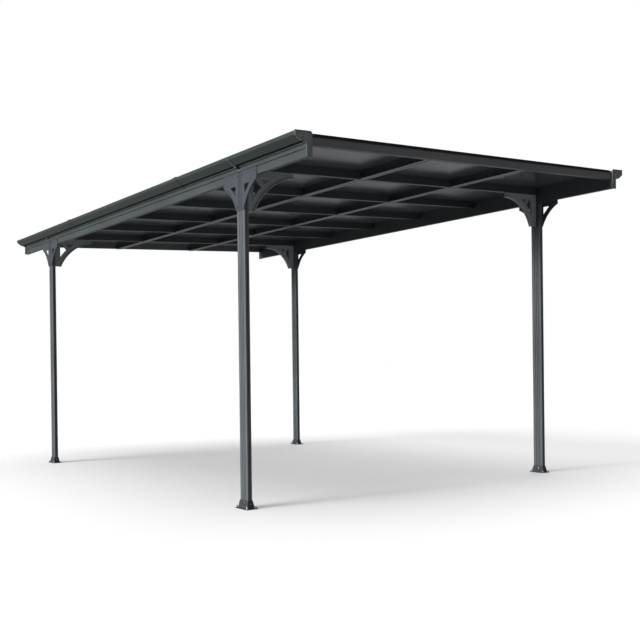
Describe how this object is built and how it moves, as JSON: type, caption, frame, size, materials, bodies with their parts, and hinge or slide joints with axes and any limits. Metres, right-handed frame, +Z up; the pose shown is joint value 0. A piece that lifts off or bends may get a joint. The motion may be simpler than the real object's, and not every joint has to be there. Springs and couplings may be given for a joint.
{
  "type": "carport",
  "caption": "Free-standing single carport: a low-pitched roof of dark sheets on rafters and purlins, two gutter beams, braced posts and base plates.",
  "frame": {"origin": "centre of the footprint at ground level, under the middle of the roof", "axes": "+Z up, +Y along the roof towards its rear, +X across the roof towards its high side"},
  "size_m": [3.0456, 5.016, 2.3715],
  "materials": {
    "coated_frame": "anthracite powder coat, satin",
    "fitting": "anthracite powder coat on cast and pressed fittings",
    "moulded_cap": "moulded, fine grain",
    "roof_panel": "smoke-tinted polycarbonate, glossy",
    "edge_trim": "black edge trim"
  },
  "bodies": {
    "root": {"post_low_front": "coated_frame", "post_low_rear": "coated_frame", "post_high_front": "coated_frame", "post_high_rear": "coated_frame", "foot_low_front": "fitting", "foot_low_rear": "fitting", "foot_high_front": "fitting", "foot_high_rear": "fitting", "bracket_low_front": "fitting", "bracket_low_rear": "fitting", "bracket_high_front": "fitting", "bracket_high_rear": "fitting", "brace_low_front": "fitting", "brace_low_rear": "fitting", "brace_high_front": "fitting", "brace_high_rear": "fitting", "beam_low": "coated_frame", "beam_high": "coated_frame", "gutter_low": "coated_frame", "gutter_high": "coated_frame", "gutter_clips": "fitting", "cap_low_front": "moulded_cap", "cap_low_rear": "moulded_cap", "cap_high_front": "moulded_cap", "cap_high_rear": "moulded_cap", "front_fascia": "coated_frame", "rear_fascia": "coated_frame", "rafter_1": "coated_frame", "rafter_2": "coated_frame", "rafter_3": "coated_frame", "rafter_4": "coated_frame", "rafter_5": "coated_frame", "rafter_6": "coated_frame", "purlins_low": "coated_frame", "purlins_high": "coated_frame", "panel_1": "roof_panel", "panel_2": "roof_panel", "panel_3": "roof_panel", "panel_4": "roof_panel", "panel_5": "roof_panel", "panel_6": "roof_panel", "panel_7": "roof_panel", "glazing_bars": "coated_frame", "front_trim": "edge_trim", "rear_trim": "edge_trim"}
  },
  "joints": []
}
